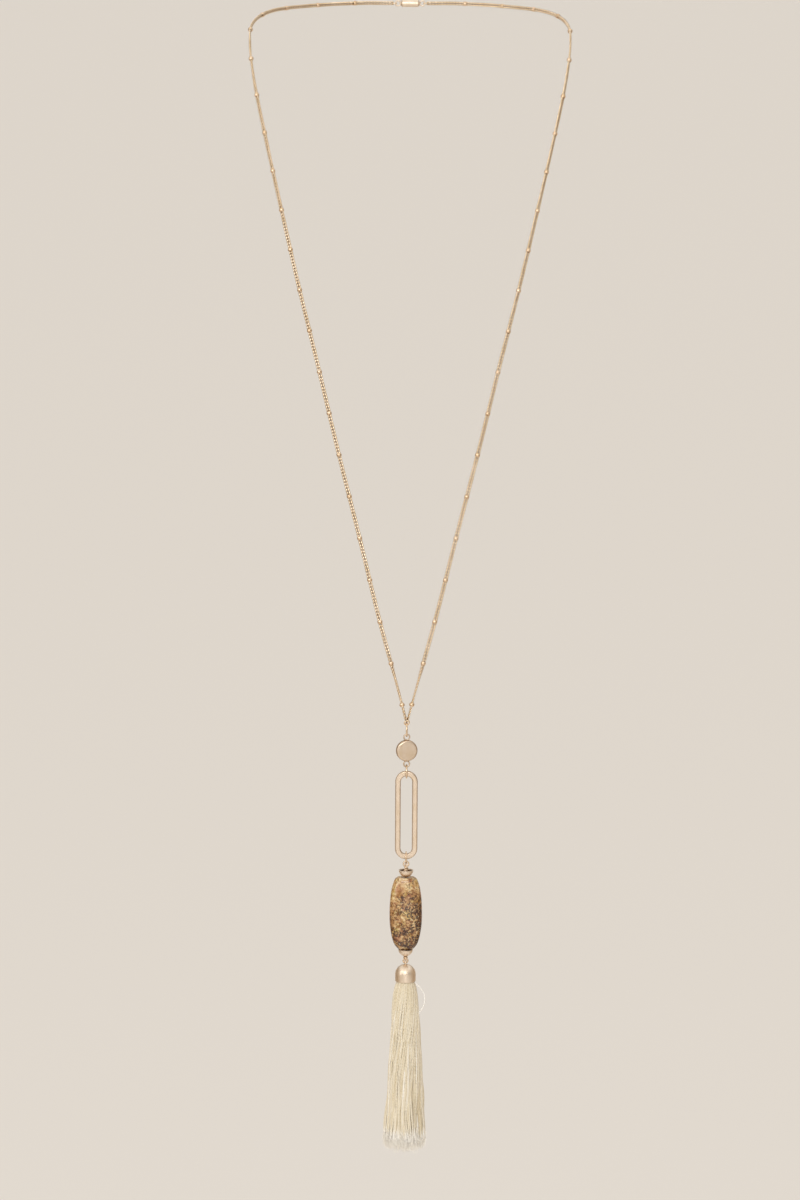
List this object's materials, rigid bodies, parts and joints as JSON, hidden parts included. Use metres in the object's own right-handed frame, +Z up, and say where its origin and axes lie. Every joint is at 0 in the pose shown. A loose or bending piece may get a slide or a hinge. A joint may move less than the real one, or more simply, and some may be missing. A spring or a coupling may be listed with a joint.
{
  "type": "tassel necklace",
  "caption": "Long necklace of fine curb chain with small balls, and a pendant of a disc, a tall oval link, a speckled stone bead and an ivory thread tassel.",
  "frame": {"origin": "middle of the neck opening, where the necklace sits on its wearer", "axes": "+Z up, -Y towards the front, where the pendant hangs, +X to the right of the picture"},
  "size_m": [0.147, 0.1661, 0.5075],
  "materials": {
    "champagne_gold": "plated, semi-polished",
    "brushed_gold": "plated, brushed matt",
    "polished_gold": "plated, polished",
    "jasper": "polished, speckled dark brown on tan",
    "thread": "soft ivory cotton thread"
  },
  "bodies": {
    "chain": {"chain_left": "champagne_gold", "chain_right": "champagne_gold", "chain_beads_left": "champagne_gold", "chain_beads_right": "champagne_gold", "clasp": "champagne_gold"},
    "top_ring": {"top_ring": "champagne_gold"},
    "disc": {"disc": "brushed_gold"},
    "middle_ring": {"middle_ring": "champagne_gold"},
    "oval_link": {"oval_link": "brushed_gold"},
    "lower_ring": {"lower_ring": "champagne_gold"},
    "stone_drop": {"eye_pin": "champagne_gold", "top_cup": "polished_gold", "stone_bead": "jasper", "bottom_cup": "polished_gold"},
    "tassel_drop": {"tassel_cap": "polished_gold", "tassel": "thread"}
  },
  "joints": [
    {"name": "top_ring_swing", "type": "hinge", "parent": "chain", "child": "top_ring", "pos_m": [0, -0.096, -0.3006], "axis": [0, 1, 0], "range_deg": [-30, 30]},
    {"name": "disc_swing", "type": "hinge", "parent": "top_ring", "child": "disc", "pos_m": [0, -0.096, -0.3056], "axis": [0.9781, 0.2079, 0], "range_deg": [-35, 35]},
    {"name": "middle_ring_swing", "type": "hinge", "parent": "disc", "child": "middle_ring", "pos_m": [0, -0.096, -0.3195], "axis": [0, 1, 0], "range_deg": [-35, 35]},
    {"name": "link_swing", "type": "hinge", "parent": "middle_ring", "child": "oval_link", "pos_m": [0, -0.096, -0.32235], "axis": [1, 0, 0], "range_deg": [-35, 35]},
    {"name": "lower_ring_swing", "type": "hinge", "parent": "oval_link", "child": "lower_ring", "pos_m": [0, -0.096, -0.35903], "axis": [0, 1, 0], "range_deg": [-35, 35]},
    {"name": "stone_swing", "type": "hinge", "parent": "lower_ring", "child": "stone_drop", "pos_m": [0, -0.096, -0.36318], "axis": [1, 0, 0], "range_deg": [-35, 35]},
    {"name": "tassel_swing", "type": "hinge", "parent": "stone_drop", "child": "tassel_drop", "pos_m": [0, -0.096, -0.40961], "axis": [1, 0, 0], "range_deg": [-40, 40]}
  ]
}
